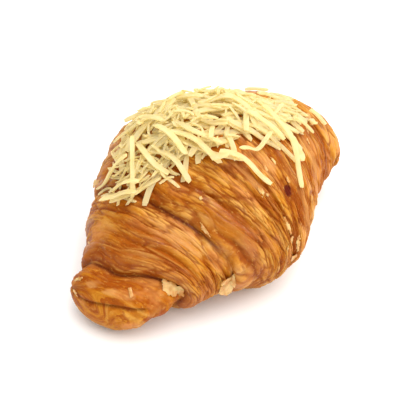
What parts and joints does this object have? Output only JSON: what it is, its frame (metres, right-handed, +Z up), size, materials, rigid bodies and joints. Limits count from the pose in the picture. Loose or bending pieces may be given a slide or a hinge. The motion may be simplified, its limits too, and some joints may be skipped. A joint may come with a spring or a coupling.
{
  "type": "croissant topped with grated cheese",
  "caption": "Baked croissant of rolled laminated dough with a glossy ridged crust, topped with a loose heap of grated cheese.",
  "frame": {"origin": "on the surface it rests on, under the middle of the whole object", "axes": "+Z up; X along the roll from tip to tip, +X towards the tip that the heap of cheese reaches; -Y towards the front, where the rolled ridges show best"},
  "size_m": [0.15, 0.102, 0.0736],
  "materials": {
    "crust": "egg-washed baked laminated dough, glossy golden brown with darker folds",
    "cheese": "grated semi-hard cheese, pale yellow, slightly translucent and moist"
  },
  "bodies": {
    "root": {"croissant": "crust", "cheese_shred_01": "cheese", "cheese_shred_02": "cheese", "cheese_shred_03": "cheese", "cheese_shred_04": "cheese", "cheese_shred_05": "cheese", "cheese_shred_06": "cheese", "cheese_shred_07": "cheese", "cheese_shred_08": "cheese", "cheese_shred_09": "cheese", "cheese_shred_10": "cheese", "cheese_shred_11": "cheese", "cheese_shred_12": "cheese", "cheese_shred_13": "cheese", "cheese_shred_14": "cheese", "cheese_shred_15": "cheese", "cheese_shred_16": "cheese", "cheese_shred_17": "cheese", "cheese_shred_18": "cheese", "cheese_shred_19": "cheese", "cheese_shred_20": "cheese", "cheese_shred_21": "cheese", "cheese_shred_22": "cheese", "cheese_shred_23": "cheese", "cheese_shred_24": "cheese", "cheese_shred_25": "cheese", "cheese_shred_26": "cheese", "cheese_shred_27": "cheese", "cheese_shred_28": "cheese", "cheese_shred_29": "cheese", "cheese_shred_30": "cheese", "cheese_shred_31": "cheese", "cheese_shred_32": "cheese", "cheese_shred_33": "cheese", "cheese_shred_34": "cheese", "cheese_shred_35": "cheese", "cheese_shred_36": "cheese", "cheese_shred_37": "cheese", "cheese_shred_38": "cheese", "cheese_shred_39": "cheese", "cheese_shred_40": "cheese", "cheese_shred_41": "cheese", "cheese_shred_42": "cheese", "cheese_shred_43": "cheese", "cheese_shred_44": "cheese", "cheese_shred_45": "cheese", "cheese_shred_46": "cheese", "cheese_shred_47": "cheese", "cheese_shred_48": "cheese", "cheese_shred_49": "cheese", "cheese_shred_50": "cheese", "cheese_shred_51": "cheese", "cheese_shred_52": "cheese", "cheese_shred_53": "cheese", "cheese_shred_54": "cheese", "cheese_shred_55": "cheese", "cheese_shred_56": "cheese", "cheese_shred_57": "cheese", "cheese_shred_58": "cheese", "cheese_shred_59": "cheese"}
  },
  "joints": []
}
